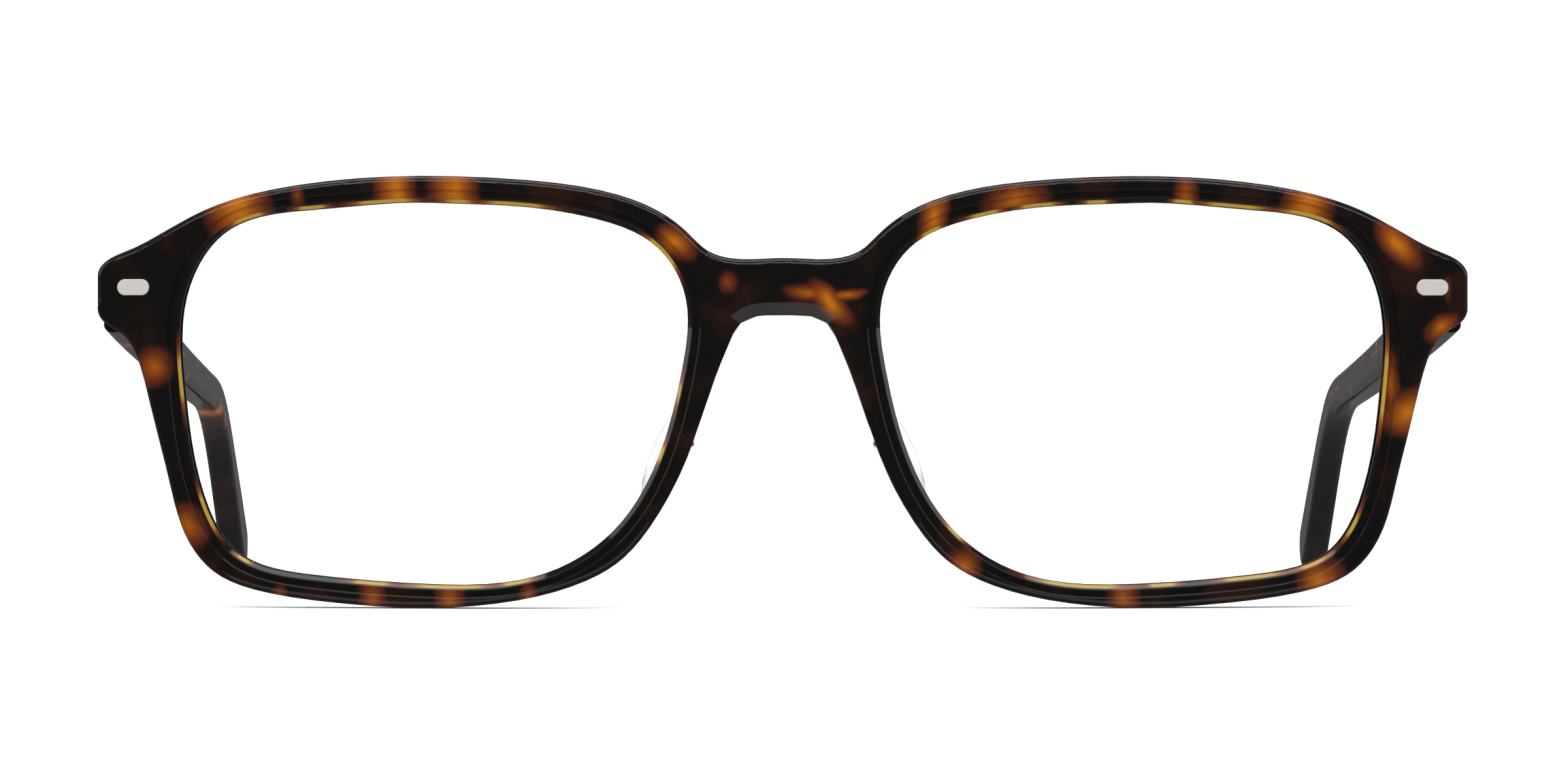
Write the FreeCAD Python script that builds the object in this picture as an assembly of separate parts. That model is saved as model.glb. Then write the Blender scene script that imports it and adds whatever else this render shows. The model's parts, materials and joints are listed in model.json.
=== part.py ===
"""Full-rim acetate eyeglasses frame with demo lenses and folding temples, in millimetres.

The parts are drawn in the bridge frame: X to the wearer's left, Y back from the front of the bridge,
Z up from the lowest point of the rims. The last step moves everything back by SETBACK, so that the
origin is the middle of the whole object's footprint with both temples open.
Everything on the wearer's left (+X) is drawn once and mirrored for the right.
"""

import FreeCAD, Part
import math
import os

from FreeCAD import Placement, Rotation, Vector

# --- whole object ---
SETBACK = 72.19  # from the front of the bridge back to the origin
FACE_RADIUS = 350.0  # wrap of the front about a vertical axis
FRONT_THICKNESS = 4.0
FRONT_HEIGHT = 44.3

# --- front outline, half of it, as (x, z) from the middle outwards ---
BROW_LINE = [
    (0.0, 35.85), (5.9, 35.9), (7.8, 36.6), (9.9, 38.5), (13.1, 40.8), (18.4, 42.7),
    (27.0, 43.9), (36.7, 44.3), (50.0, 43.4), (60.0, 40.7), (64.3, 38.4), (67.5, 36.8),
    (69.0, 36.2), (70.1, 35.5), (70.6, 34.9),
]
UNDER_LINE = [
    (0.0, 30.0), (2.8, 29.9), (4.4, 29.2), (5.5, 27.4), (6.5, 25.0), (8.4, 19.6), (9.9, 15.4),
    (13.5, 8.6), (16.7, 4.9), (21.8, 2.2), (29.2, 0.5), (36.7, 0.0), (46.0, 0.5), (53.5, 1.6),
    (58.7, 3.7), (61.7, 7.6), (63.3, 13.0), (65.2, 20.5), (66.5, 25.3), (67.5, 27.3),
    (68.4, 28.2), (69.6, 28.95), (70.4, 29.65),
]
ENDPIECE_X = 70.8
ENDPIECE_Z = (30.6, 34.2)
AHEAD = 5.0  # cutting tools start this far in front of the bridge
THROUGH = 40.0  # and this long they pass the whole depth of the front
SPARE = 3.0  # blanks that are trimmed later overshoot by this much
ON_SURFACE = 0.02  # an edge this near to a surface lies on it
PROBES = 5  # points of an edge that are tested
OUTER_EDGE_ROUND = 0.7
REAR_EDGE_ROUND = 0.5
NOSE_BEVEL_POINTS = 8  # how many points of the under line the bevel at the nose follows
NOSE_BEVEL_WIDTH = 1.3
NOSE_BEVEL_DEPTH = 0.7

# --- lens opening and lens ---
LENS_OPENING = [
    (36.1, 41.6), (27.0, 41.2), (19.2, 39.9), (13.1, 37.1), (10.1, 32.0), (10.4, 24.5),
    (12.7, 15.8), (17.3, 8.1), (24.6, 3.5), (36.1, 2.4), (48.3, 3.3), (56.5, 5.8), (60.1, 12.2),
    (61.9, 23.0), (61.7, 32.0), (57.8, 38.5), (47.5, 41.0),
]
STEP_WIDTH = 1.3  # shallow inner band around each lens opening
STEP_DEPTH = 0.25
LIP_CHAMFER = 0.45
REAR_LIP_CHAMFER = 0.3
EDGE_REACH = 0.3  # an edge this near the opening belongs to it
GROOVE_DEPTH = 0.9
GROOVE_SPAN = (1.2, 3.1)  # from the front surface
GROOVE_BEVEL = 0.7
LENS_CLEARANCE = 0.06

# --- corner plaque ---
PLAQUE_X = 67.0
PLAQUE_Z = 32.95
PLAQUE_LENGTH = 3.4
PLAQUE_HEIGHT = 1.65
PLAQUE_PROUD = 0.15
PLAQUE_SUNK = 0.4
PLAQUE_EDGE_ROUND = 0.1
PLAQUE_STUD_RADIUS = 0.35
PLAQUE_STUD_SPACING = 1.8
PLAQUE_STUD_LENGTH = 0.7
RECESS_PLAY = 0.02

# --- nose pads ---
PAD_CENTRE = Vector(11.4, 4.1, 15.6)
PAD_HALF_SIZE = Vector(1.5, 4.7, 6.2)
PAD_LEAN = 24.0  # in the plane of the front, along the nasal rim
PAD_SPLAY = 22.0  # outwards towards the face

# --- hinge, in the hinge frame: origin on the pin, Y along the open temple, Z along the pin ---
HINGE_X = 64.6
HINGE_Y = 11.0
HINGE_Z = 31.0
HINGE_TILT = 4.19  # the pin leans back, so that open temples drop to the ear
ENDPIECE_INNER_X = 62.9
SEAT_START = 2.0  # the block that holds the hinge begins this far behind the front surface
JOINT_GAP = 0.1  # half the gap between endpiece and temple end
KNUCKLES = 5
KNUCKLE_RADIUS = 1.5
KNUCKLE_HEIGHT = 0.92
KNUCKLE_GAP = 0.05
BARREL_RELIEF = 1.62
BORE_RADIUS = 0.6
SCREW_RADIUS = 0.55
SCREW_HEAD_RADIUS = 1.15
SCREW_HEAD_HEIGHT = 0.5
SCREW_SLOT = (0.35, 0.28)  # width, depth
LEAF_THICKNESS = 0.65
FRONT_LEAF_SPAN = (-1.5, 3.4)
LEAF_HALF_HEIGHT = 2.2
ANCHOR_STEM = (0.9, 2.5)  # across the endpiece
ANCHOR_STEM_HALF_HEIGHT = 0.7
ANCHOR_BAR = (0.3, 3.1)
ANCHOR_BAR_HALF_HEIGHT = 1.3
ANCHOR_BAR_THICKNESS = 0.6
ANCHOR_REACH = 2.9
ARM_LAP = 0.2  # how far the arms of the temple's knuckles run into their plate
TEMPLE_PLATE_END = 4.9
TEMPLE_PLATE_HALF_HEIGHT = 1.85
TEMPLE_PLATE_DEPTH = 0.5
TEMPLE_PLATE_PROUD = 0.08
TEMPLE_ANCHOR_SPAN = (2.0, 4.0)
TEMPLE_ANCHOR_HALF_HEIGHT = 0.9
TEMPLE_ANCHOR_REACH = 2.95

# --- temple, in the hinge frame ---
# stations along the middle line: distance back, height, half height across the line
TEMPLE_LINE = [
    (JOINT_GAP, 0.0, 2.65), (18.0, -0.8, 2.45), (36.0, -1.4, 2.3), (54.0, -1.85, 2.15),
    (72.0, -2.1, 2.05), (86.0, -2.2, 1.95), (96.0, -2.7, 1.95), (103.0, -4.4, 2.0),
    (111.0, -7.7, 2.1), (119.0, -11.7, 2.4), (126.5, -15.6, 2.75), (132.0, -18.4, 2.85),
]
TEMPLE_TIP = (134.8, -19.85)
TEMPLE_INNER = 1.9
TEMPLE_OUTER = [(JOINT_GAP, 5.9), (20.0, 5.75), (50.0, 5.25), (85.0, 5.0), (140.0, 5.0)]
TEMPLE_ROUND = 0.8
SHORTEST_LONG_EDGE = 3.0
END_FACE_REACH = 1.0
ACROSS = 2.5  # an edge wider than this runs across the temple
CORE_SPAN = (3.1, 3.9)
CORE_HALF_HEIGHT = 0.8
CORE_START = 0.5
CORE_LAST_STATION = 10
CORE_TIP_DROP = 0.4  # the round end of the core follows the slope of the earpiece
CRIMPS = 11
CRIMP_PITCH = 0.9
CRIMP_START = 11.0
CRIMP_SIZE = 0.45
CRIMP_DEPTH = 0.12


def spline(points, closed=False):
    """A smooth edge through the points."""
    curve = Part.BSplineCurve()
    curve.interpolate(Points=points, PeriodicFlag=closed)
    return curve.toShape()


def xz(points, y=0.0):
    return [Vector(x, y, z) for x, z in points]


def mirrored_line(half):
    """A whole line from its half, from -X to +X."""
    return [(-x, z) for x, z in reversed(half[1:])] + half


def offset_points(points, distance, closed):
    """The points moved sideways by distance, to the left of their direction of travel."""
    moved = []
    count = len(points)
    for i, (a, b) in enumerate(points):
        before = points[i - 1] if closed or i else points[i]
        after = points[(i + 1) % count] if closed or i + 1 < count else points[i]
        da, db = after[0] - before[0], after[1] - before[1]
        length = math.hypot(da, db)
        moved.append((a - db / length * distance, b + da / length * distance))
    return moved


def prism(wire, depth):
    return Part.Face(wire).extrude(depth)


def rod(radius, start, length, direction=Vector(0, 0, 1)):
    return Part.makeCylinder(radius, length, start, direction)


def block(low, high):
    """A box between two corners."""
    size = [b - a for a, b in zip(low, high)]
    return Part.makeBox(*size, Vector(*low))


def mirrored(shape):
    return shape.mirror(Vector(0, 0, 0), Vector(1, 0, 0))


def both_sides(shape):
    return [shape, mirrored(shape)]


def wrap(front_depth, rear_depth):
    """The layer of the front's curved sheet between two depths below its front surface."""
    bottom = Vector(0, FACE_RADIUS, -SPARE)
    height = FRONT_HEIGHT + 2 * SPARE
    outside = rod(FACE_RADIUS - front_depth, bottom, height)
    return outside.cut(rod(FACE_RADIUS - rear_depth, bottom, height))


def surface_y(x):
    """How far the front surface lies behind the bridge at x."""
    return FACE_RADIUS - math.sqrt(FACE_RADIUS**2 - x**2)


def at_depth(edge, depth):
    """True for an edge that lies in the curved sheet at that depth below the front surface."""
    points = edge.discretize(PROBES)
    gaps = [FACE_RADIUS - math.hypot(p.x, p.y - FACE_RADIUS) - depth for p in points]
    return max(abs(gap) for gap in gaps) < ON_SURFACE


def hinge_frame(shape):
    """Moves a shape from the hinge frame to the wearer's left hinge."""
    placed = shape.copy()
    tilt = Rotation(Vector(1, 0, 0), -HINGE_TILT)
    placed.Placement = Placement(Vector(HINGE_X, HINGE_Y, HINGE_Z), tilt)
    return placed


def front_outline():
    """Brow line, under line and the two straight ends of the endpieces."""
    z_low, z_high = ENDPIECE_Z
    brow = mirrored_line(BROW_LINE + [(ENDPIECE_X, z_high)])
    under = mirrored_line(UNDER_LINE + [(ENDPIECE_X, z_low)])
    edges = [spline(xz(brow, -AHEAD)), spline(xz(under, -AHEAD))]
    for x in (-ENDPIECE_X, ENDPIECE_X):
        edges.append(Part.makeLine(Vector(x, -AHEAD, z_low), Vector(x, -AHEAD, z_high)))
    return Part.Wire(Part.__sortEdges__(edges))


def lens_prism(grow):
    """The lens opening grown all round, pushed through the front."""
    points = offset_points(LENS_OPENING, -grow, closed=True)
    return prism(Part.Wire(spline(xz(points, -AHEAD), closed=True)), Vector(0, THROUGH, 0))


def is_opening_edge(edge, depth):
    """True for an edge of the left or right lens opening, at that depth below the front surface."""
    xs = [x for x, _ in LENS_OPENING]
    zs = [z for _, z in LENS_OPENING]
    box = edge.BoundBox
    nearest = min(abs(box.XMin), abs(box.XMax)) + EDGE_REACH
    farthest = max(abs(box.XMin), abs(box.XMax)) - EDGE_REACH
    in_width = nearest > min(xs) and farthest < max(xs)
    in_height = box.ZMin + EDGE_REACH > min(zs) and box.ZMax - EDGE_REACH < max(zs)
    return in_width and in_height and at_depth(edge, depth)


def bevelled_lens(grow, start, end, bevel):
    """A lens blank with a V edge, between two depths below the front surface."""
    blank = lens_prism(grow).common(wrap(start, end))
    rims = [e for e in blank.Edges if at_depth(e, start) or at_depth(e, end)]
    return blank.makeChamfer(bevel, rims)


def demo_lens():
    start, end = GROOVE_SPAN
    play = LENS_CLEARANCE
    return bevelled_lens(GROOVE_DEPTH - play, start + play, end - play, GROOVE_BEVEL)


def nose_bevel():
    """A tapered tool that bevels the front edge of the arch over the nose."""
    half = UNDER_LINE[:NOSE_BEVEL_POINTS]
    path = mirrored_line(half)
    sections = []
    # the tool tapers from twice the width in front to nothing, so at the surface it has the width
    for grow, y in ((2 * NOSE_BEVEL_WIDTH, -NOSE_BEVEL_DEPTH), (0.0, NOSE_BEVEL_DEPTH)):
        arch = xz(offset_points(path, grow, closed=False), y)
        base = Part.makeLine(arch[-1], arch[0])
        sections.append(Part.Wire([spline(arch), base]))
    return Part.makeLoft(sections, True, True)


def front_blank():
    """The curved sheet cut to its outline, with rounded edges and a thicker block at each hinge."""
    outline = prism(front_outline(), Vector(0, THROUGH, 0))
    sheet = outline.common(wrap(0, FRONT_THICKNESS))
    sheet = sheet.makeFillet(OUTER_EDGE_ROUND, [e for e in sheet.Edges if at_depth(e, 0)])
    rear = [e for e in sheet.Edges if at_depth(e, FRONT_THICKNESS)]
    sheet = sheet.makeFillet(REAR_EDGE_ROUND, rear)
    seat_front = surface_y(HINGE_X) + SEAT_START
    seat = block(
        (ENDPIECE_INNER_X, seat_front, 0), (ENDPIECE_X + SPARE, HINGE_Y + SPARE, FRONT_HEIGHT)
    )
    for side in both_sides(seat):
        sheet = sheet.fuse(outline.common(side))
    inner = ENDPIECE_INNER_X - HINGE_X
    behind = hinge_frame(block((inner, -JOINT_GAP, -THROUGH), (THROUGH, THROUGH, THROUGH)))
    for side in both_sides(behind):
        sheet = sheet.cut(side)
    return sheet


def acetate_front(cutters):
    """The one-piece front: sheet, lens openings with their step, lip and groove, nose bevel, seats."""
    front = front_blank().cut(nose_bevel())
    band = lens_prism(STEP_WIDTH).common(wrap(-AHEAD, STEP_DEPTH))
    for tool in (band, lens_prism(0)):
        for side in both_sides(tool):
            front = front.cut(side)
    for chamfer, depth in ((LIP_CHAMFER, STEP_DEPTH), (REAR_LIP_CHAMFER, FRONT_THICKNESS)):
        lips = [e for e in front.Edges if is_opening_edge(e, depth)]
        front = front.makeChamfer(chamfer, lips)
    groove = bevelled_lens(GROOVE_DEPTH, *GROOVE_SPAN, GROOVE_BEVEL)
    for tool in [groove] + cutters:
        for side in both_sides(tool):
            front = front.cut(side)
    return front


def stadium(length, height, y):
    """A flat bar outline with round ends, in the XZ plane."""
    radius = height / 2
    half = length / 2 - radius
    top = Part.makeLine(Vector(-half, y, radius), Vector(half, y, radius))
    bottom = Part.makeLine(Vector(-half, y, -radius), Vector(half, y, -radius))
    right = Part.Arc(Vector(half, y, radius), Vector(half + radius, y, 0), Vector(half, y, -radius))
    left = Part.Arc(Vector(-half, y, radius), Vector(-half - radius, y, 0), Vector(-half, y, -radius))
    return Part.Wire(Part.__sortEdges__([top, right.toShape(), bottom, left.toShape()]))


def plaque(play=0.0):
    """The satin metal bar inlaid in the corner, with two studs behind it."""
    bar = prism(
        stadium(PLAQUE_LENGTH + 2 * play, PLAQUE_HEIGHT + 2 * play, -PLAQUE_PROUD),
        Vector(0, PLAQUE_PROUD + PLAQUE_SUNK + play, 0),
    )
    shown = [e for e in bar.Edges if e.BoundBox.YMax < ON_SURFACE - PLAQUE_PROUD]
    bar = bar.makeFillet(PLAQUE_EDGE_ROUND, shown)
    for x in (-PLAQUE_STUD_SPACING / 2, PLAQUE_STUD_SPACING / 2):
        length = PLAQUE_SUNK + PLAQUE_STUD_LENGTH + play
        bar = bar.fuse(rod(PLAQUE_STUD_RADIUS + play, Vector(x, 0, 0), length, Vector(0, 1, 0)))
    turn = math.degrees(math.asin(PLAQUE_X / FACE_RADIUS))
    place = Vector(PLAQUE_X, surface_y(PLAQUE_X), PLAQUE_Z)
    bar.Placement = Placement(place, Rotation(Vector(0, 0, 1), turn))
    return bar


def nose_pad():
    """A clear crescent glued to the back of the nasal rim."""
    pad = Part.makeSphere(1.0)
    stretch = FreeCAD.Matrix()
    stretch.scale(PAD_HALF_SIZE)
    pad = pad.transformGeometry(stretch)
    lean = Rotation(Vector(0, 1, 0), -PAD_LEAN)
    splay = Rotation(Vector(0, 0, 1), -PAD_SPLAY)
    pad.Placement = Placement(PAD_CENTRE, lean.multiply(splay))
    return pad.cut(wrap(-THROUGH, FRONT_THICKNESS))


def knuckle_span(index):
    """Bottom and top of one knuckle, counted from below."""
    total = KNUCKLES * KNUCKLE_HEIGHT + (KNUCKLES - 1) * KNUCKLE_GAP
    low = -total / 2 + index * (KNUCKLE_HEIGHT + KNUCKLE_GAP)
    return low, low + KNUCKLE_HEIGHT


def pin_bore():
    return rod(BORE_RADIUS, Vector(0, 0, -THROUGH / 2), THROUGH)


def barrel_relief():
    """The space that the knuckles and the screw's head need in the endpiece."""
    low = knuckle_span(0)[0] - KNUCKLE_GAP
    high = knuckle_span(KNUCKLES - 1)[1] + SCREW_HEAD_HEIGHT + KNUCKLE_GAP
    return rod(BARREL_RELIEF, Vector(0, 0, low), high - low)


def front_leaf_plate(play=0.0):
    """The plate in the endpiece's rear face, with the anchor that holds it in the acetate."""
    low, high = FRONT_LEAF_SPAN
    deep = -JOINT_GAP - LEAF_THICKNESS
    half = LEAF_HALF_HEIGHT + play
    plate = block((low - play, deep - play, -half), (high + play, -JOINT_GAP, half))
    stem_low, stem_high = ANCHOR_STEM
    reach = -ANCHOR_REACH - play
    half = ANCHOR_STEM_HALF_HEIGHT + play
    stem = block((stem_low - play, reach, -half), (stem_high + play, deep, half))
    bar_low, bar_high = ANCHOR_BAR
    half = ANCHOR_BAR_HALF_HEIGHT + play
    bar_rear = -ANCHOR_REACH + ANCHOR_BAR_THICKNESS + play
    bar = block((bar_low - play, reach, -half), (bar_high + play, bar_rear, half))
    return plate.fuse([stem, bar])


def front_hinge_leaf():
    """Three knuckles on their plate, with room for the temple's two."""
    leaf = front_leaf_plate()
    for index in range(KNUCKLES):
        low, high = knuckle_span(index)
        if index % 2:
            gap = KNUCKLE_GAP
            room = rod(BARREL_RELIEF, Vector(0, 0, low - gap), high - low + 2 * gap)
            leaf = leaf.cut(room)
        else:
            leaf = leaf.fuse(rod(KNUCKLE_RADIUS, Vector(0, 0, low), high - low))
    return leaf.cut(pin_bore()).removeSplitter()


def temple_plate(play=0.0):
    """The plate in the temple's inner face, round at its far end, with its anchor."""
    half = TEMPLE_PLATE_HALF_HEIGHT + play
    centre = TEMPLE_PLATE_END - TEMPLE_PLATE_HALF_HEIGHT
    face = TEMPLE_INNER - TEMPLE_PLATE_PROUD
    depth = TEMPLE_PLATE_DEPTH + TEMPLE_PLATE_PROUD + play
    plate = block((face, JOINT_GAP - play, -half), (face + depth, centre, half))
    plate = plate.fuse(rod(half, Vector(face, centre, 0), depth, Vector(1, 0, 0)))
    near, far = TEMPLE_ANCHOR_SPAN
    half = TEMPLE_ANCHOR_HALF_HEIGHT + play
    anchor = block((face, near - play, -half), (TEMPLE_ANCHOR_REACH + play, far + play, half))
    return plate.fuse(anchor)


def temple_hinge_leaf():
    """Two knuckles with their arms on the temple's plate."""
    leaf = temple_plate()
    for index in range(1, KNUCKLES, 2):
        low, high = knuckle_span(index)
        arm = block((0, 0, low), (TEMPLE_INNER + ARM_LAP, KNUCKLE_RADIUS, high))
        leaf = leaf.fuse([rod(KNUCKLE_RADIUS, Vector(0, 0, low), high - low), arm])
    return leaf.cut(pin_bore()).removeSplitter()


def hinge_screw():
    """A slotted screw that the temple turns on."""
    low = knuckle_span(0)[0]
    top = knuckle_span(KNUCKLES - 1)[1]
    width, depth = SCREW_SLOT
    head_top = top + SCREW_HEAD_HEIGHT
    screw = rod(SCREW_RADIUS, Vector(0, 0, low), top - low)
    screw = screw.fuse(rod(SCREW_HEAD_RADIUS, Vector(0, 0, top), SCREW_HEAD_HEIGHT))
    reach = 2 * SCREW_HEAD_RADIUS
    slot = block((-reach, -width / 2, head_top - depth), (reach, width / 2, head_top + depth))
    return screw.cut(slot).removeSplitter()


def temple_side(stations, tip):
    """The temple's side view as a wire in the YZ plane, from stations along its middle line."""
    top = []
    bottom = []
    for index, (y, z, half) in enumerate(stations):
        before = stations[max(index - 1, 0)]
        after = stations[min(index + 1, len(stations) - 1)]
        slope = math.atan2(after[1] - before[1], after[0] - before[0]) if index else 0.0
        across = Vector(0, -math.sin(slope), math.cos(slope)) * half
        top.append(Vector(0, y, z) + across)
        bottom.append(Vector(0, y, z) - across)
    end = Part.Arc(top[-1], Vector(0, *tip), bottom[-1]).toShape()
    edges = [spline(top), end, spline(bottom), Part.makeLine(bottom[0], top[0])]
    return Part.Wire(Part.__sortEdges__(edges))


def temple_blank():
    """Side view and top view of the temple pushed through each other, with rounded edges."""
    side = prism(temple_side(TEMPLE_LINE, TEMPLE_TIP), Vector(THROUGH, 0, 0))
    outer = [Vector(x, y, -THROUGH) for y, x in TEMPLE_OUTER]
    inner = [Vector(TEMPLE_INNER, v.y, -THROUGH) for v in (outer[-1], outer[0])]
    edges = [
        spline(outer),
        Part.makeLine(outer[-1], inner[0]),
        Part.makeLine(inner[0], inner[1]),
        Part.makeLine(inner[1], outer[0]),
    ]
    blank = side.common(prism(Part.Wire(edges), Vector(0, 0, 2 * THROUGH)))
    long_edges = [e for e in blank.Edges if e.Length > SHORTEST_LONG_EDGE and not is_end_edge(e)]
    return blank.makeFillet(TEMPLE_ROUND, long_edges)


def is_end_edge(edge):
    """True for an edge of the flat face at the hinge end, or one that runs straight across."""
    box = edge.BoundBox
    return box.YMax < END_FACE_REACH or box.XLength > ACROSS


def core_shape(play=0.0):
    """The flat wire in the middle of the temple."""
    half = CORE_HALF_HEIGHT + play
    stations = [(CORE_START, 0.0, half)]
    stations += [(y, z, half) for y, z, _ in TEMPLE_LINE[1:CORE_LAST_STATION]]
    last_y, last_z, _ = stations[-1]
    side = temple_side(stations, (last_y + half, last_z - CORE_TIP_DROP))
    low, high = CORE_SPAN
    side.translate(Vector(low - play, 0, 0))
    return prism(side, Vector(high - low + 2 * play, 0, 0))


def wire_core():
    """The core with its row of square crimp marks on the side that faces the head."""
    core = core_shape()
    (near, near_z, _), (far, far_z, _) = TEMPLE_LINE[:2]
    slope = (far_z - near_z) / (far - near)
    half = CRIMP_SIZE / 2
    for index in range(CRIMPS):
        y = CRIMP_START + index * CRIMP_PITCH
        z = near_z + slope * (y - near)
        bottom = CORE_SPAN[0] + CRIMP_DEPTH
        core = core.cut(block((0, y - half, z - half), (bottom, y + half, z + half)))
    return core


def acetate_temple():
    """The temple with its recess for the hinge plate and its channel for the core."""
    temple = temple_blank()
    low, high = CORE_SPAN
    half = CORE_HALF_HEIGHT + RECESS_PLAY
    channel = block((low - RECESS_PLAY, 0, -half), (high + RECESS_PLAY, 2 * CORE_START, half))
    for tool in (temple_plate(RECESS_PLAY), core_shape(RECESS_PLAY), channel):
        temple = temple.cut(tool)
    return temple


def left_side_parts():
    """Every part that has a twin, drawn on the wearer's left."""
    return {
        "demo_lens": demo_lens(),
        "nose_pad": nose_pad(),
        "corner_plaque": plaque(),
        "front_hinge_leaf": hinge_frame(front_hinge_leaf()),
        "hinge_screw": hinge_frame(hinge_screw()),
        "temple_hinge_leaf": hinge_frame(temple_hinge_leaf()),
        "acetate_temple": hinge_frame(acetate_temple()),
        "wire_core": hinge_frame(wire_core()),
    }


def front_cutters():
    """The recesses in the front on the wearer's left."""
    seat = front_leaf_plate(RECESS_PLAY).fuse(barrel_relief())
    return [plaque(RECESS_PLAY), hinge_frame(seat)]


def single_solid(shape):
    """The one solid that a part must be."""
    if len(shape.Solids) != 1:
        raise ValueError("a part came out as %d solids" % len(shape.Solids))
    return shape.Solids[0]


def export(name, shape):
    solid = single_solid(shape).copy()
    solid.translate(Vector(0, -SETBACK, 0))
    solid.exportStep("parts/%s.step" % name)
    return solid


def main():
    os.makedirs("parts", exist_ok=True)
    solids = [export("acetate_front", acetate_front(front_cutters()))]
    for name, shape in left_side_parts().items():
        solids.append(export(name + "_left", shape))
        solids.append(export(name + "_right", mirrored(single_solid(shape))))
    box = Part.makeCompound(solids).BoundBox
    print("box", [round(v, 3) for v in (box.XMin, box.YMin, box.ZMin, box.XMax, box.YMax, box.ZMax)])


main()
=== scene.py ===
"""Looks, light and camera for the eyeglasses frame: tortoiseshell acetate, clear lenses, satin metal.

Lengths of patterns on the surface (patches, lips, wire core) are millimetres and all others are metres, in
the frame of the CAD model: +X to the wearer's left, +Y back along the open temples, +Z up. The front faces
-Y.
"""

import json
import math

import bpy
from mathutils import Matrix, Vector


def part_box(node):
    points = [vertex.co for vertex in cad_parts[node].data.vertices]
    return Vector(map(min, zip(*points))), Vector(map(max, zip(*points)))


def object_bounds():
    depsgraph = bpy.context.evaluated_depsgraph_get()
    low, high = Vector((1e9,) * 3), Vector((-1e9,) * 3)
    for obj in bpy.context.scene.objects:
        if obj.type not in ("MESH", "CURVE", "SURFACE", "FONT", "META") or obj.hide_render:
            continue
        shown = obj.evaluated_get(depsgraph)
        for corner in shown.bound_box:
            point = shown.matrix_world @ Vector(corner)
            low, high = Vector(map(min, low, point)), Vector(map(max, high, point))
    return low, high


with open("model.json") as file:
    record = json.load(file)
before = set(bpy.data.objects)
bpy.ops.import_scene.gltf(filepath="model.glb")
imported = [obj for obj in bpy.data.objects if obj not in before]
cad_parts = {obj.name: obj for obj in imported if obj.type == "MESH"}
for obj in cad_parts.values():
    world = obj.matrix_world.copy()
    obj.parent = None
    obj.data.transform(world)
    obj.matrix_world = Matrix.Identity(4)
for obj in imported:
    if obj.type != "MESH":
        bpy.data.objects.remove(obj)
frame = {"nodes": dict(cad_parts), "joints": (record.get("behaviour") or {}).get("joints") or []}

CAD_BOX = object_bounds()
MM = 0.001
SIDES = ("left", "right")

# --- camera ---
CAMERA_AZIMUTH = -0.5  # degrees; the camera stands a touch to the wearer's right
CAMERA_DISTANCE = 0.60
VIEW_WIDTH = 0.160
SENSOR_WIDTH = 36.0  # millimetres
CLIP_NEAR = 0.01
CLIP_FAR = 100.0

# --- floor, world and lamps ---
FLOOR_REACH = 8.0
FLOOR_GAP = 0.00002
FLOOR_ROUGHNESS = 0.9
WORLD_STRENGTH = 1.08
MIRROR_SPAN = (-0.9, 0.3)  # how far a direction points along +Y, from the dark end to the bright end
MIRROR_STRENGTH = (0.015, 0.17)
SUN_PLACE = (-0.3, -0.6, 1.0)
SUN_STRENGTH = 1.3
SUN_SPREAD = math.radians(50)
# name, place, watts, width, height; all aim at the origin. The floor hides the lamp "low" from everything
# but mirrored light.
LAMPS = [
    ("strip", (0.0, -0.6, 0.55), 2.0, 1.4, 0.16),
    ("top", (0.0, -0.05, 0.7), 1.8, 0.7, 0.3),
    ("low", (0.0, -0.5, -0.4), 0.7, 1.0, 0.3),
    ("left", (-0.8, -0.1, 0.35), 0.8, 0.3, 0.6),
    ("right", (0.8, -0.1, 0.35), 0.8, 0.3, 0.6),
]

# --- colours, linear ---
NEAR_BLACK = (0.0042, 0.0036, 0.0033)
DARK_BROWN = (0.013, 0.0055, 0.004)
RED_BROWN = (0.060, 0.013, 0.005)
BURNT_ORANGE = (0.150, 0.038, 0.004)
AMBER = (0.275, 0.085, 0.005)
GOLD = (0.29, 0.185, 0.026)
DEEP_GOLD = (0.27, 0.120, 0.010)
PALE_STEEL = (0.64, 0.61, 0.57)
CHAMPAGNE = (0.95, 0.83, 0.66)
BRIGHT_STEEL = (0.80, 0.80, 0.81)
DRAWN_WIRE = (0.62, 0.55, 0.42)
CLEAR_TINT = (0.985, 0.995, 0.99)
PAD_CLOUD = (0.93, 0.92, 0.88)
PAD_CLEAR = (0.98, 0.97, 0.95)
FLOOR_WHITE = (0.90, 0.90, 0.90)

# --- how a patch of tortoiseshell is drawn; distances count in half sizes of the patch ---
PATCH_REACH = 1.65  # where it has faded into the dark ground
PATCH_BLEND = 0.25  # how softly two patches join
MOTTLE = 0.08  # how far its bounds waver from place to place
MOTTLE_SCALE = 0.7
PATCH_STOPS = [(0.0, AMBER), (0.12, AMBER), (0.38, BURNT_ORANGE), (0.62, RED_BROWN), (0.90, DARK_BROWN)]
PATCH_FADE = (0.66, 0.92)  # shares of the reach between which the ground takes over
LIP_STOPS = [(0.0, GOLD), (0.30, GOLD), (0.46, BURNT_ORANGE), (0.62, RED_BROWN), (0.85, NEAR_BLACK)]
LIP_REACH = 2.0  # the same for the golden lips
WANDERS = [(0.28, 1.1), (1.1, 0.15)]  # lumps per millimetre of a noise, and how far it moves an outline
NOISE_MIDDLE = 0.5
CLOUD_SCALE = 0.16
CLOUD_EDGE = (0.50, 0.68)
FRONT_FACE = CAD_BOX[0].y / MM  # the foremost point of the frame
DEEP = 60.0  # patches run through the whole thickness of the acetate

# --- polished acetate ---
ACETATE_IOR = 1.48
POLISH_ROUGHNESS = (0.045, 0.095)
HAZE_SCALE = 0.4
RIPPLE_SCALE = 0.12
RIPPLE_STRENGTH = 0.03
RIPPLE_DISTANCE = 0.0004
EDGE_SOFTNESS = 0.00022  # polishing softens every sharp edge by this much
EDGE_SAMPLES = 4

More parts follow.
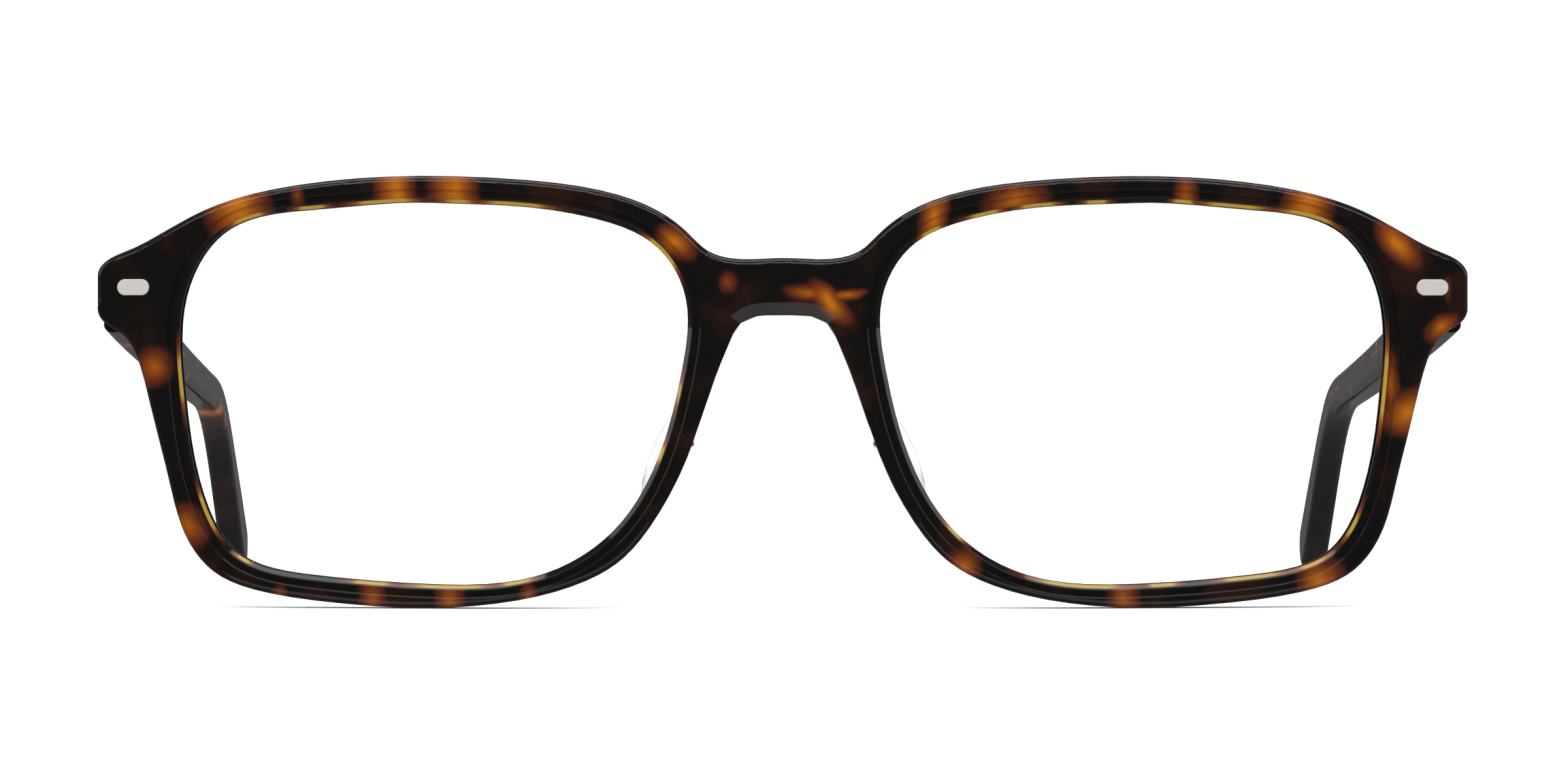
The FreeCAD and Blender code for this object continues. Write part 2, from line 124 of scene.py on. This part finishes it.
# --- the golden lips round the lens openings, a painted glow of the light that shines through the thin edge ---
LENS_CENTRE = (36.0, 22.0)
FACE_RADIUS = 350.0
LIP_SPAN = (0.32, 1.1)  # depths below the front surface between which a lip lets light through
LIP_FADE_IN = 0.1
LIP_FADE_OUT = 0.8
LIP_FACING = (0.3, 0.5)  # how squarely a lip faces the middle of its lens, from no gold to full gold

# --- the wire core, as it is seen through the inner side of a temple ---
INNER_FACE = 2.6  # acetate nearer to the pin than this, sideways, is the temple's inner side
INNER_FADE = 0.1
TEMPLE_SAG = 2.25  # the middle line of a temple drops this much over SAG_LENGTH, along a parabola
SAG_LENGTH = 90.0
CRIMP_START = {"left": 5.8, "right": 9.5}  # distance of the first crimp mark behind the pin
CRIMP_PITCH = 0.98
CRIMPS = 11
CRIMP_HALF = 0.24
CRIMP_BLUR = 0.09
# the bright middle of a crimp mark is a painted highlight
CRIMP_MIDDLE = (0.62, 0.42)  # a mark's middle brightens between these shares of its half width
CRIMP_LEVELS = 2.0  # crimp_marks counts up to this, on a bright middle
CRIMP_EDGE = (0.1, 0.6)
CRIMP_STOPS = [(0.0, NEAR_BLACK), (0.5, NEAR_BLACK), (0.9, GOLD)]
WINDOW_FADE = (1.15, 0.5)  # half sizes of a window at which it has closed and at which it is clear
CORE_GRAIN_SCALE = 5.0
CORE_GRAIN_EDGE = (0.2, 0.8)
GLINT_HEIGHT = 0.45  # a thin glint along the core lies this high above the middle line
GLINT_WIDTH = (0.22, 0.05)  # distances from its line at which it has faded and at which it is full
GLINT_START = (18.0, 24.0)  # distances behind the pin between which it appears
GLINT_END = (50.0, 45.0)  # and between which it goes
GLINT_BREAKS = (0.48, 0.62)
GLINT_GRAIN = (0.1, 0.16, 0.1)

# --- metals: name, colour, roughness, lumps of the brushed grain per millimetre along X, Y and Z, and
# the pieces that have it ---
METALS = [
    ("satin_plaque", PALE_STEEL, 0.42, (0.8, 6.0, 6.0), ["corner_plaque"]),
    ("champagne_leaf", CHAMPAGNE, 0.38, (6.0, 0.8, 6.0), ["front_hinge_leaf", "temple_hinge_leaf"]),
    ("screw_steel", BRIGHT_STEEL, 0.22, (5.0, 5.0, 1.0), ["hinge_screw"]),
    ("drawn_wire", DRAWN_WIRE, 0.38, (6.0, 0.3, 6.0), ["wire_core"]),
]
METALLIC = 0.45  # part metal only, so that satin metal stays bright in the dark mirrored surroundings
GRAIN_DETAIL = 3.0
GRAIN_CRISPNESS = 0.6
GRAIN_DARKNESS = 0.86
GRAIN_ROUGHNESS = 0.06
GRAIN_STRENGTH = 0.15
GRAIN_DISTANCE = 0.00002

# --- clear pieces ---
LENS_SHEEN_IOR = 1.18  # far below glass, so that the coated lenses mirror only a little
LENS_ROUGHNESS = 0.04
LENS_FILM_SCALE = 0.05
PAD_ROUGHNESS = (0.04, 0.10)
PAD_CLOUD_SCALE = 0.3

# sockets of a Mix node that mixes colours
MIX_FACTOR = 0
MIX_FIRST = 6
MIX_SECOND = 7
MIX_RESULT = 2

# --- amber patches of the front: x, z, half width, half height, turn in degrees, dimness ---
FACE_PATCHES = [
    (-56.1, 41.0, 2.6, 2.8, 20, 0.0),
    (-49.8, 42.3, 1.3, 2.0, 0, 0.75),
    (-39.8, 42.6, 1.8, 3.2, 0, 0.05),
    (-33.7, 42.6, 2.3, 3.0, 0, 0.12),
    (-11.0, 37.4, 2.1, 1.3, 40, 0.1),
    (-64.9, 24.7, 2.4, 2.6, 20, 0.42),
    (-61.2, 8.4, 2.8, 2.2, 50, 0.42),
    (-52.0, 1.2, 1.6, 1.8, 0, 0.7),
    (-42.2, 1.0, 1.8, 3.0, 0, 0.5),
    (-34.1, 1.0, 2.1, 3.0, 0, 0.5),
    (-26.2, 1.2, 1.2, 1.8, 0, 0.6),
    (-5.7, 33.3, 1.6, 2.2, 0, 0.75),
    (2.4, 32.3, 2.8, 1.0, 5, 0.4),
    (4.7, 31.3, 2.4, 1.1, 45, 0.0),
    (6.5, 32.1, 2.1, 0.6, -10, 0.3),
    (15.3, 39.8, 1.3, 2.3, 15, 0.1),
    (23.8, 41.8, 3.7, 1.7, -8, 0.3),
    (41.3, 42.6, 1.6, 2.6, 0, 0.5),
    (53.9, 41.2, 2.2, 2.1, 10, 0.0),
    (63.3, 37.5, 2.8, 1.4, 50, 0.05),
    (67.9, 28.8, 2.1, 1.2, -30, 0.25),
    (68.6, 32.6, 0.9, 2.6, 0, 0.8),
    (64.6, 20.1, 2.8, 2.1, -15, 0.12),
    (62.7, 22.8, 0.9, 4.6, 0, 0.5),
    (18.5, 4.4, 1.9, 1.8, 40, 0.35),
    (34.7, 1.0, 2.0, 2.8, 0, 0.42),
    (55.2, 2.9, 2.5, 2.0, -25, 0.2),
]

# --- golden stretches of the thin lips round the lens openings, where painted light glows through the acetate, in the same form ---
LIP_PATCHES = [
    (-55.0, 39.9, 1.8, 1.6, 0, 0.0),
    (-48.5, 41.0, 1.5, 1.5, 0, 0.0),
    (-41.0, 41.5, 3.3, 1.5, 0, 0.0),
    (-33.3, 41.5, 2.6, 1.5, 0, 0.35),
    (-27.3, 41.3, 3.6, 1.5, 0, 0.0),
    (-12.2, 36.5, 2.2, 2.4, 0, 0.0),
    (-61.6, 23.6, 1.6, 3.2, 0, 0.0),
    (-59.4, 9.6, 1.8, 2.4, 0, 0.0),
    (-55.5, 5.0, 1.3, 1.3, 0, 0.2),
    (-42.3, 2.7, 2.2, 1.5, 0, 0.0),
    (-34.3, 2.5, 4.4, 1.5, 0, 0.0),
    (-27.3, 3.0, 1.7, 1.5, 0, 0.0),
    (-10.4, 21.5, 1.0, 2.8, 0, 0.3),
    (-12.3, 15.7, 1.2, 1.6, 0, 0.2),
    (15.2, 38.3, 1.3, 1.3, 0, 0.0),
    (20.6, 40.3, 1.9, 1.5, 0, 0.0),
    (26.1, 41.2, 2.1, 1.5, 0, 0.0),
    (32.1, 41.6, 1.2, 1.5, 0, 0.0),
    (40.9, 41.5, 1.1, 1.5, 0, 0.0),
    (46.2, 41.2, 3.6, 1.5, 0, 0.0),
    (53.7, 39.8, 3.3, 1.6, 0, 0.0),
    (61.7, 23.0, 1.6, 4.4, 0, 0.0),
    (30.4, 2.7, 5.2, 1.5, 0, 0.0),
    (38.8, 2.5, 1.6, 1.5, 0, 0.0),
    (47.8, 3.4, 3.5, 1.5, 0, 0.0),
    (54.0, 4.8, 3.2, 1.6, 0, 0.15),
    (58.4, 8.6, 1.8, 2.4, 0, 0.2),
    (17.2, 7.3, 1.5, 2.2, 0, 0.15),
]

# --- patches of the temples: distance behind the pin, height above the pin's middle, half length,
# half height, turn in degrees, dimness ---
TEMPLE_PATCHES = {
    "left": [
        (24.6, 1.2, 3.0, 1.7, 0, 0.0),
        (24.9, -2.0, 1.5, 2.6, 0, 0.0),
        (13.4, 1.7, 1.6, 0.7, 0, 0.25),
        (14.6, -2.7, 1.5, 0.7, 0, 0.3),
        (33.9, 0.4, 1.5, 1.3, 0, 0.15),
        (43.9, 0.2, 1.4, 1.5, 0, 0.1),
        (58.0, -0.8, 2.2, 1.0, 0, 0.6),
        (72.0, -3.2, 2.6, 1.0, 0, 0.6),
        (86.9, -2.1, 3.0, 0.4, 0, 0.35),
        (93.5, -2.4, 3.4, 0.4, -4, 0.35),
        (94.5, -3.4, 3.0, 0.5, -6, 0.7),
        (101.3, -4.1, 4.4, 0.45, -18, 0.5),
        (110.0, -6.7, 3.2, 0.6, -25, 0.75),
        (118.0, -10.8, 4.2, 0.8, -27, 1.05),
        (123.0, -14.4, 3.6, 0.8, -27, 1.05),
        (132.6, -20.2, 3.0, 1.3, -20, 1.05),
    ],
    "right": [
        (13.3, 1.9, 3.3, 0.9, 0, 0.0),
        (12.2, -2.7, 2.1, 0.8, 0, 0.1),
        (25.2, 0.8, 2.3, 1.6, 0, 0.0),
        (41.0, -3.2, 1.7, 0.9, 0, 0.45),
        (51.5, -3.3, 1.4, 0.9, 0, 0.25),
        (63.0, -1.0, 2.4, 1.0, 0, 0.5),
        (82.0, -3.6, 1.6, 0.9, 0, 0.65),
        (88.0, -3.7, 1.6, 0.9, 0, 0.65),
        (94.6, -4.0, 2.7, 1.0, 0, 0.0),
        (100.5, -4.6, 2.6, 0.9, -20, 0.3),
        (112.3, -9.6, 2.6, 0.9, -25, 1.0),
        (118.8, -11.4, 2.8, 1.5, -25, 1.0),
        (131.0, -19.0, 2.8, 1.8, -20, 1.05),
    ],
}
# clear windows over the wire core, in the same form
WINDOWS = {
    "left": [(14.2, -0.6, 3.4, 1.5, 0, 0.55), (7.4, -0.3, 3.0, 1.5, 0, 0.6)],
    "right": [(13.8, -0.6, 6.6, 1.35, 0, 0.0)],
}


class Shader:
    """One material's node tree. Most methods add nodes and return the output socket."""

    def __init__(self, name):
        self.material = bpy.data.materials.new(name)
        self.material.use_nodes = True
        self.tree = self.material.node_tree
        self.surface = self.tree.nodes["Principled BSDF"]

    def add(self, kind, **settings):
        """A new node."""
        node = self.tree.nodes.new(kind)
        for key, value in settings.items():
            setattr(node, key, value)
        return node

    def feed(self, socket, value):
        """Links a socket to another one, or sets its value."""
        if isinstance(value, bpy.types.NodeSocket):
            self.tree.links.new(value, socket)
        else:
            socket.default_value = value

    def set(self, **values):
        """Sets sockets of the surface shader, with _ for a space in their names."""
        for name, value in values.items():
            self.feed(self.surface.inputs[name.replace("_", " ")], value)

    def math(self, operation, *values):
        node = self.add("ShaderNodeMath", operation=operation)
        for socket, value in zip(node.inputs, values):
            self.feed(socket, value)
        return node.outputs[0]

    def product(self, first, *others):
        for other in others:
            first = self.math("MULTIPLY", first, other)
        return first

    def spread(self, value, low, high):
        """A value between 0 and 1 spread over low to high."""
        return self.math("MULTIPLY_ADD", value, high - low, low)

    def step(self, value, low, high):
        """0 below low, 1 above high, smooth between; low may be the larger one."""
        node = self.add("ShaderNodeMapRange", interpolation_type="SMOOTHSTEP")
        for name, number in (("Value", value), ("From Min", low), ("From Max", high)):
            self.feed(node.inputs[name], number)
        return node.outputs[0]

    def vector(self, operation, *values):
        node = self.add("ShaderNodeVectorMath", operation=operation)
        for socket, value in zip(node.inputs, values):
            self.feed(socket, value)
        return node.outputs["Value" if operation in ("LENGTH", "DOT_PRODUCT") else "Vector"]

    def split(self, vector):
        node = self.add("ShaderNodeSeparateXYZ")
        self.feed(node.inputs[0], vector)
        return node.outputs

    def join(self, x, y, z):
        node = self.add("ShaderNodeCombineXYZ")
        for socket, value in zip(node.inputs, (x, y, z)):
            self.feed(socket, value)
        return node.outputs[0]

    def noise(self, point, scale, detail=2.0, roughness=0.5):
        """A noise between 0 and 1 with about scale lumps per millimetre, as "Fac" and as "Color"."""
        node = self.add("ShaderNodeTexNoise")
        self.feed(node.inputs["Vector"], point)
        node.inputs["Scale"].default_value = scale
        node.inputs["Detail"].default_value = detail
        node.inputs["Roughness"].default_value = roughness
        return node.outputs

    def ramp(self, factor, stops):
        """A colour from (position, colour) stops."""
        node = self.add("ShaderNodeValToRGB")
        elements = node.color_ramp.elements
        while len(elements) < len(stops):
            elements.new(0.5)
        for element, (position, colour) in zip(elements, stops):
            element.position = position
            element.color = (*colour, 1.0)
        self.feed(node.inputs[0], factor)
        return node.outputs[0]

    def mix(self, factor, first, second):
        """The first colour at factor 0 and the second at 1."""
        node = self.add("ShaderNodeMix", data_type="RGBA")
        for socket, value in ((MIX_FACTOR, factor), (MIX_FIRST, first), (MIX_SECOND, second)):
            self.feed(node.inputs[socket], (*value, 1.0) if isinstance(value, tuple) else value)
        return node.outputs[MIX_RESULT]

    def bump(self, height, strength, distance):
        node = self.add("ShaderNodeBump")
        node.inputs["Strength"].default_value = strength
        node.inputs["Distance"].default_value = distance
        self.feed(node.inputs["Height"], height)
        return node.outputs[0]

    def soft_edges(self):
        """The surface's direction, turned near a sharp edge as if the edge were rounded."""
        node = self.add("ShaderNodeBevel", samples=EDGE_SAMPLES)
        node.inputs["Radius"].default_value = EDGE_SOFTNESS
        return node.outputs[0]

    def place(self, point, location, turn, scale=(1, 1, 1)):
        """The point seen from a frame with that place, turn and scale."""
        node = self.add("ShaderNodeMapping", vector_type="TEXTURE")
        self.feed(node.inputs["Vector"], point)
        node.inputs["Location"].default_value = location
        node.inputs["Rotation"].default_value = [math.radians(angle) for angle in turn]
        node.inputs["Scale"].default_value = scale
        return node.outputs[0]

    def point_mm(self):
        """The place on the object in millimetres, which moves with its body."""
        return self.vector("MULTIPLY", self.add("ShaderNodeTexCoord").outputs["Object"], (1 / MM,) * 3)

    def normal(self):
        return self.add("ShaderNodeTexCoord").outputs["Normal"]


def wander(shader, point):
    """The point moved about a little, so that patches have uneven outlines."""
    moved = point
    for scale, reach in WANDERS:
        lumps = shader.noise(point, scale, detail=1.0)["Color"]
        offset = shader.vector("SUBTRACT", lumps, (NOISE_MIDDLE,) * 3)
        moved = shader.vector("MULTIPLY_ADD", offset, (reach,) * 3, moved)
    return moved


def nearest_patch(shader, point, patches, along):
    """0 in the middle of the nearest patch and 1 at its edge, and more by the patch's dimness.

    along is the axis of a patch's first number.
    """
    nearest = None
    for first, z, half_first, half_z, turn, dimness in patches:
        if along == "x":
            spot = ((first, FRONT_FACE, z), (0, turn, 0), (half_first, DEEP, half_z))
        else:
            spot = ((0, first, z), (turn, 0, 0), (DEEP, half_first, half_z))
        distance = shader.vector("LENGTH", shader.place(point, *spot))
        distance = shader.math("ADD", distance, dimness)
        nearest = distance if nearest is None else shader.math("SMOOTH_MIN", nearest, distance, PATCH_BLEND)
    return nearest


def ground_colour(shader, point):
    """The near-black ground of the acetate, with faint brown clouds."""
    clouds = shader.noise(point, CLOUD_SCALE, detail=3.0)["Fac"]
    return shader.mix(shader.step(clouds, *CLOUD_EDGE), NEAR_BLACK, DARK_BROWN)


def patch_colour(shader, point, distance):
    """Amber in a patch, through orange and red-brown, to the dark ground."""
    mottle = shader.spread(shader.noise(point, MOTTLE_SCALE)["Fac"], -MOTTLE, MOTTLE)
    level = shader.math("DIVIDE", shader.math("ADD", distance, mottle), PATCH_REACH)
    faded = shader.step(level, *PATCH_FADE)
    return shader.mix(faded, shader.ramp(level, PATCH_STOPS), ground_colour(shader, point))


def polish(shader, point):
    """The glossy finish of polished acetate, with softened edges and a faint ripple."""
    haze = shader.noise(point, HAZE_SCALE)["Fac"]
    ripple = shader.noise(point, RIPPLE_SCALE, detail=1.0)["Fac"]
    rippled = shader.bump(ripple, RIPPLE_STRENGTH, RIPPLE_DISTANCE)
    shader.feed(rippled.node.inputs["Normal"], shader.soft_edges())
    shader.set(Roughness=shader.spread(haze, *POLISH_ROUGHNESS), Normal=rippled, IOR=ACETATE_IOR)


def lip_mask(shader, point):
    """1 on the thin lip that faces into a lens opening."""
    x, y, z = shader.split(point)
    behind = shader.math("SUBTRACT", y, FRONT_FACE + FACE_RADIUS)
    from_axis = shader.vector("LENGTH", shader.join(x, behind, 0.0))
    depth = shader.math("SUBTRACT", FACE_RADIUS, from_axis)
    start, end = LIP_SPAN
    below = shader.step(depth, start, start + LIP_FADE_IN)
    above = shader.step(depth, end + LIP_FADE_OUT, end)

    centre_x = shader.math("MULTIPLY", shader.math("SIGN", x), LENS_CENTRE[0])
    to_centre_x = shader.math("SUBTRACT", centre_x, x)
    to_centre_z = shader.math("SUBTRACT", LENS_CENTRE[1], z)
    inward = shader.vector("NORMALIZE", shader.join(to_centre_x, 0.0, to_centre_z))
    facing = shader.vector("DOT_PRODUCT", inward, shader.normal())
    return shader.product(shader.step(facing, *LIP_FACING), shader.product(below, above))


def front_material():
    """Tortoiseshell of the front, with golden lips where light comes through the thin edge, painted into
    the colour as a glow.
    """
    shader = Shader("tortoise_front")
    point = shader.point_mm()
    ragged = wander(shader, point)
    face = patch_colour(shader, point, nearest_patch(shader, ragged, FACE_PATCHES, "x"))
    lip_level = shader.math("DIVIDE", nearest_patch(shader, ragged, LIP_PATCHES, "x"), LIP_REACH)
    lip = shader.ramp(lip_level, LIP_STOPS)
    # painted light: the thin lip glows gold where light shines through it
    shader.set(Base_Color=shader.mix(lip_mask(shader, point), face, lip))
    polish(shader, point)
    return shader.material


def hinge_point(shader, side):
    """The place on a temple in millimetres from the middle of its pin: sideways, back and up the pin."""
    joint = next(j for j in frame["joints"] if side in j["name"])
    hinge = [value / MM for value in joint["pos_m"]]
    lean = math.degrees(math.asin(abs(joint["axis"][1])))
    return shader.place(shader.point_mm(), hinge, (-lean, 0, 0))


def above_middle_line(shader, along, height):
    """The height above the middle line of a temple, which drops along a parabola."""
    left = shader.math("SUBTRACT", 1.0, shader.math("DIVIDE", along, SAG_LENGTH))
    drop = shader.math("MULTIPLY_ADD", shader.product(left, left), TEMPLE_SAG, -TEMPLE_SAG)
    return shader.math("SUBTRACT", height, drop)


def crimp_marks(shader, along, across, start):
    """0 away from the crimps of the wire core, 1 on their dark outlines, 2 on their bright middles, which
    are a painted highlight.
    """
    counted = shader.math("DIVIDE", shader.math("SUBTRACT", along, start), CRIMP_PITCH)
    nearest = shader.math("MAXIMUM", shader.math("ROUND", counted), 0.0)
    nearest = shader.math("MINIMUM", nearest, CRIMPS - 1.0)
    beside = shader.math("MULTIPLY", shader.math("SUBTRACT", counted, nearest), CRIMP_PITCH)
    reach = shader.math("MAXIMUM", shader.math("ABSOLUTE", beside), shader.math("ABSOLUTE", across))
    outline = shader.step(reach, CRIMP_HALF + CRIMP_BLUR, CRIMP_HALF)
    middle = shader.step(reach, *[CRIMP_HALF * share for share in CRIMP_MIDDLE])
    return shader.math("ADD", outline, middle)


def core_colour(shader, point, along, across, side):
    """What a clear window shows: grainy gold, and on it the crimp marks of the wire core."""
    grain = shader.noise(point, CORE_GRAIN_SCALE)["Fac"]
    gold = shader.mix(shader.step(grain, *CORE_GRAIN_EDGE), DEEP_GOLD, BURNT_ORANGE)
    marks = crimp_marks(shader, along, across, CRIMP_START[side])
    marked = shader.ramp(shader.math("DIVIDE", marks, CRIMP_LEVELS), CRIMP_STOPS)
    return shader.mix(shader.step(marks, *CRIMP_EDGE), gold, marked)


def core_glint(shader, point, along, across):
    """1 on the thin broken line where an edge of the wire core catches the light."""
    streaks = shader.noise(shader.vector("MULTIPLY", point, GLINT_GRAIN), 1.0)["Fac"]
    distance = shader.math("ABSOLUTE", shader.math("SUBTRACT", across, GLINT_HEIGHT))
    return shader.product(
        shader.step(distance, *GLINT_WIDTH),
        shader.step(streaks, *GLINT_BREAKS),
        shader.step(along, *GLINT_END),
        shader.step(along, *GLINT_START),
    )


def temple_material(side):
    """Tortoiseshell of one temple, with the wire core showing through clear windows."""
    shader = Shader("tortoise_temple_" + side)
    point = hinge_point(shader, side)
    ragged = wander(shader, point)
    sideways, along, height = shader.split(point)
    across = above_middle_line(shader, along, height)
    inner = shader.step(shader.math("ABSOLUTE", sideways), INNER_FACE + INNER_FADE, INNER_FACE)

    colour = patch_colour(shader, point, nearest_patch(shader, ragged, TEMPLE_PATCHES[side], "y"))
    glint = shader.product(core_glint(shader, point, along, across), inner)
    colour = shader.mix(glint, colour, AMBER)
    window = shader.step(nearest_patch(shader, ragged, WINDOWS[side], "y"), *WINDOW_FADE)
    seen = core_colour(shader, point, along, across, side)
    shader.set(Base_Color=shader.mix(shader.product(window, inner), colour, seen))
    polish(shader, point)
    return shader.material


def metal_material(name, colour, roughness, grain):
    """Satin metal with fine brushed grain."""
    shader = Shader(name)
    stretched = shader.vector("MULTIPLY", shader.point_mm(), grain)
    brushed = shader.noise(stretched, 1.0, detail=GRAIN_DETAIL, roughness=GRAIN_CRISPNESS)["Fac"]
    darker = tuple(GRAIN_DARKNESS * value for value in colour)
    shader.set(
        Base_Color=shader.mix(brushed, darker, colour),
        Metallic=METALLIC,
        Roughness=shader.spread(brushed, roughness - GRAIN_ROUGHNESS, roughness + GRAIN_ROUGHNESS),
        Normal=shader.bump(brushed, GRAIN_STRENGTH, GRAIN_DISTANCE),
    )
    return shader.material


def lens_material():
    """A clear demo lens: what is behind it shows unchanged, with a faint reflection."""
    shader = Shader("clear_lens")
    clear = shader.add("ShaderNodeBsdfTransparent")
    clear.inputs["Color"].default_value = (*CLEAR_TINT, 1.0)
    shine = shader.add("ShaderNodeBsdfGlossy")
    film = shader.noise(shader.point_mm(), LENS_FILM_SCALE)["Fac"]
    shader.feed(shine.inputs["Roughness"], shader.math("MULTIPLY", film, LENS_ROUGHNESS))
    fresnel = shader.add("ShaderNodeFresnel")
    fresnel.inputs["IOR"].default_value = LENS_SHEEN_IOR
    from_behind = shader.add("ShaderNodeNewGeometry").outputs["Backfacing"]
    sheen = shader.product(fresnel.outputs[0], shader.math("SUBTRACT", 1.0, from_behind))
    both = shader.add("ShaderNodeMixShader")
    for socket, value in zip(both.inputs, (sheen, clear.outputs[0], shine.outputs[0])):
        shader.feed(socket, value)
    shader.feed(shader.tree.nodes["Material Output"].inputs["Surface"], both.outputs[0])
    shader.tree.nodes.remove(shader.surface)
    return shader.material


def pad_material():
    """Clear polished acetate of the nose pads."""
    shader = Shader("clear_pad")
    cloud = shader.noise(shader.point_mm(), PAD_CLOUD_SCALE)["Fac"]
    shader.set(
        Base_Color=shader.mix(cloud, PAD_CLOUD, PAD_CLEAR),
        Roughness=shader.spread(cloud, *PAD_ROUGHNESS),
        IOR=ACETATE_IOR,
        Transmission_Weight=1.0,
    )
    return shader.material


def paint(node, material):
    """Gives a CAD node its material."""
    for slot in frame["nodes"][node].material_slots:
        slot.material = material


def paint_pair(name, material):
    """Gives the left and the right one of a piece the same material."""
    for side in SIDES:
        paint("%s_%s" % (name, side), material)


def paint_all():
    """Gives every piece of the frame its material."""
    paint("acetate_front", front_material())
    for side in SIDES:
        paint("acetate_temple_" + side, temple_material(side))
    paint_pair("demo_lens", lens_material())
    paint_pair("nose_pad", pad_material())
    for name, colour, roughness, grain, pieces in METALS:
        material = metal_material(name, colour, roughness, grain)
        for piece in pieces:
            paint_pair(piece, material)


def make_floor():
    """A plain pale floor under the object, which glossy surfaces don't mirror."""
    mesh = bpy.data.meshes.new("floor")
    level = CAD_BOX[0].z - FLOOR_GAP
    corners = [(x * FLOOR_REACH, y * FLOOR_REACH, level) for x, y in ((-1, -1), (1, -1), (1, 1), (-1, 1))]
    mesh.from_pydata(corners, [], [(0, 1, 2, 3)])
    floor = bpy.data.objects.new("floor", mesh)
    floor.visible_glossy = False
    bpy.context.scene.collection.objects.link(floor)
    shader = Shader("pale_floor")
    shader.set(Base_Color=(*FLOOR_WHITE, 1.0), Roughness=FLOOR_ROUGHNESS, Specular_IOR_Level=0.0)
    mesh.materials.append(shader.material)


def make_world():
    """White to the camera and to soft light; mirrored, it is dark in front and brighter behind."""
    world = bpy.data.worlds.new("studio")
    bpy.context.scene.world = world
    world.use_nodes = True
    tree = world.node_tree
    tree.nodes.clear()
    direction = tree.nodes.new("ShaderNodeTexCoord")
    split = tree.nodes.new("ShaderNodeSeparateXYZ")
    shade = tree.nodes.new("ShaderNodeMapRange")
    shade.interpolation_type = "SMOOTHSTEP"
    shade.inputs["From Min"].default_value, shade.inputs["From Max"].default_value = MIRROR_SPAN
    shade.inputs["To Min"].default_value, shade.inputs["To Max"].default_value = MIRROR_STRENGTH
    mirrored = tree.nodes.new("ShaderNodeBackground")
    plain = tree.nodes.new("ShaderNodeBackground")
    plain.inputs["Color"].default_value = (1.0, 1.0, 1.0, 1.0)
    plain.inputs["Strength"].default_value = WORLD_STRENGTH
    path = tree.nodes.new("ShaderNodeLightPath")
    reflected = tree.nodes.new("ShaderNodeMath")
    reflected.operation = "SUBTRACT"
    reflected.use_clamp = True
    choose = tree.nodes.new("ShaderNodeMixShader")
    output = tree.nodes.new("ShaderNodeOutputWorld")
    links = [
        (direction.outputs["Generated"], split.inputs[0]),
        (split.outputs["Y"], shade.inputs["Value"]),
        (shade.outputs[0], mirrored.inputs["Strength"]),
        (path.outputs["Is Glossy Ray"], reflected.inputs[0]),
        (path.outputs["Is Transmission Ray"], reflected.inputs[1]),
        (reflected.outputs[0], choose.inputs[0]),
        (plain.outputs[0], choose.inputs[1]),
        (mirrored.outputs[0], choose.inputs[2]),
        (choose.outputs[0], output.inputs["Surface"]),
    ]
    for start, end in links:
        tree.links.new(start, end)


def make_light(name, kind, place, energy, **settings):
    """A light that looks at the origin and is not itself seen by the camera."""
    data = bpy.data.lights.new(name, kind)
    data.energy = energy
    for key, value in settings.items():
        setattr(data, key, value)
    light = bpy.data.objects.new(name, data)
    light.location = place
    light.rotation_euler = (-Vector(place)).to_track_quat("-Z", "Y").to_euler()
    light.visible_camera = False
    bpy.context.scene.collection.objects.link(light)
    return light


def make_lights():
    """A wide soft sun that isn't mirrored, and the lamps."""
    sun = make_light("sky", "SUN", SUN_PLACE, SUN_STRENGTH, angle=SUN_SPREAD)
    sun.visible_glossy = False
    for name, place, watts, width, height in LAMPS:
        make_light(name, "AREA", place, watts, shape="RECTANGLE", size=width, size_y=height)


def make_camera():
    """The view of the front from ahead."""
    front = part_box("acetate_front")
    middle = Vector((0.0, front[0].y, (front[0].z + front[1].z) / 2))
    turn = math.radians(CAMERA_AZIMUTH)
    away = Vector((math.sin(turn), -math.cos(turn), 0.0))
    data = bpy.data.cameras.new("camera")
    data.sensor_width = SENSOR_WIDTH
    data.lens = SENSOR_WIDTH * CAMERA_DISTANCE / VIEW_WIDTH
    data.clip_start = CLIP_NEAR
    data.clip_end = CLIP_FAR
    camera = bpy.data.objects.new("camera", data)
    camera.location = middle + away * CAMERA_DISTANCE
    camera.rotation_euler = (-away).to_track_quat("-Z", "Y").to_euler()
    bpy.context.scene.collection.objects.link(camera)
    bpy.context.scene.camera = camera


paint_all()
make_floor()
make_world()
make_lights()
make_camera()
bpy.context.scene.view_settings.view_transform = "Standard"
